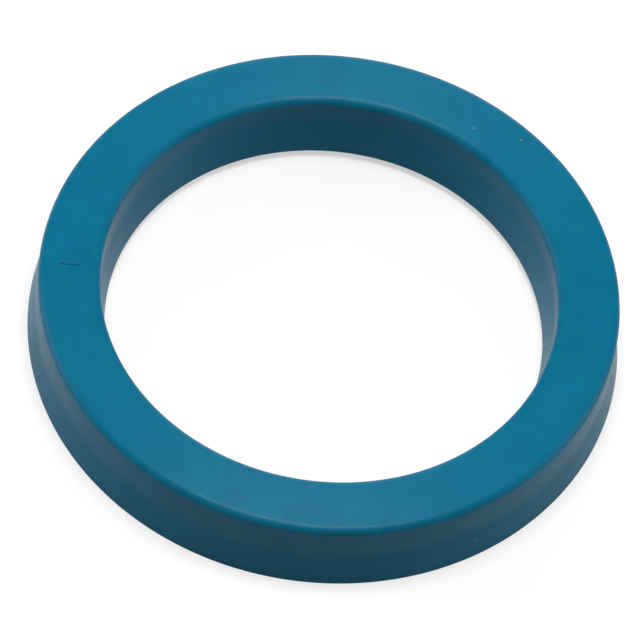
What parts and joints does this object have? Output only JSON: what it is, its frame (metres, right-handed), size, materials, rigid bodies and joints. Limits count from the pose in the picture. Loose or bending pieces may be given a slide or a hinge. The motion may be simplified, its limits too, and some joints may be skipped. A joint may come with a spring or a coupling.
{
  "type": "u cup seal",
  "caption": "U cup rod seal: a moulded ring with a flat heel, a pressure groove underneath and two flared sealing lips, the inner one shorter.",
  "frame": {"origin": "centre of the ring, in the plane that the outer lip's tip stands on", "axes": "+Z along the ring's axis from the lips to the heel face, +X and +Y across the ring, with the index tick on the heel face 184 degrees round from +X"},
  "size_m": [0.0716, 0.0716, 0.0101],
  "materials": {
    "polyurethane": "satin"
  },
  "bodies": {
    "root": {"seal_ring": "polyurethane"}
  },
  "joints": []
}
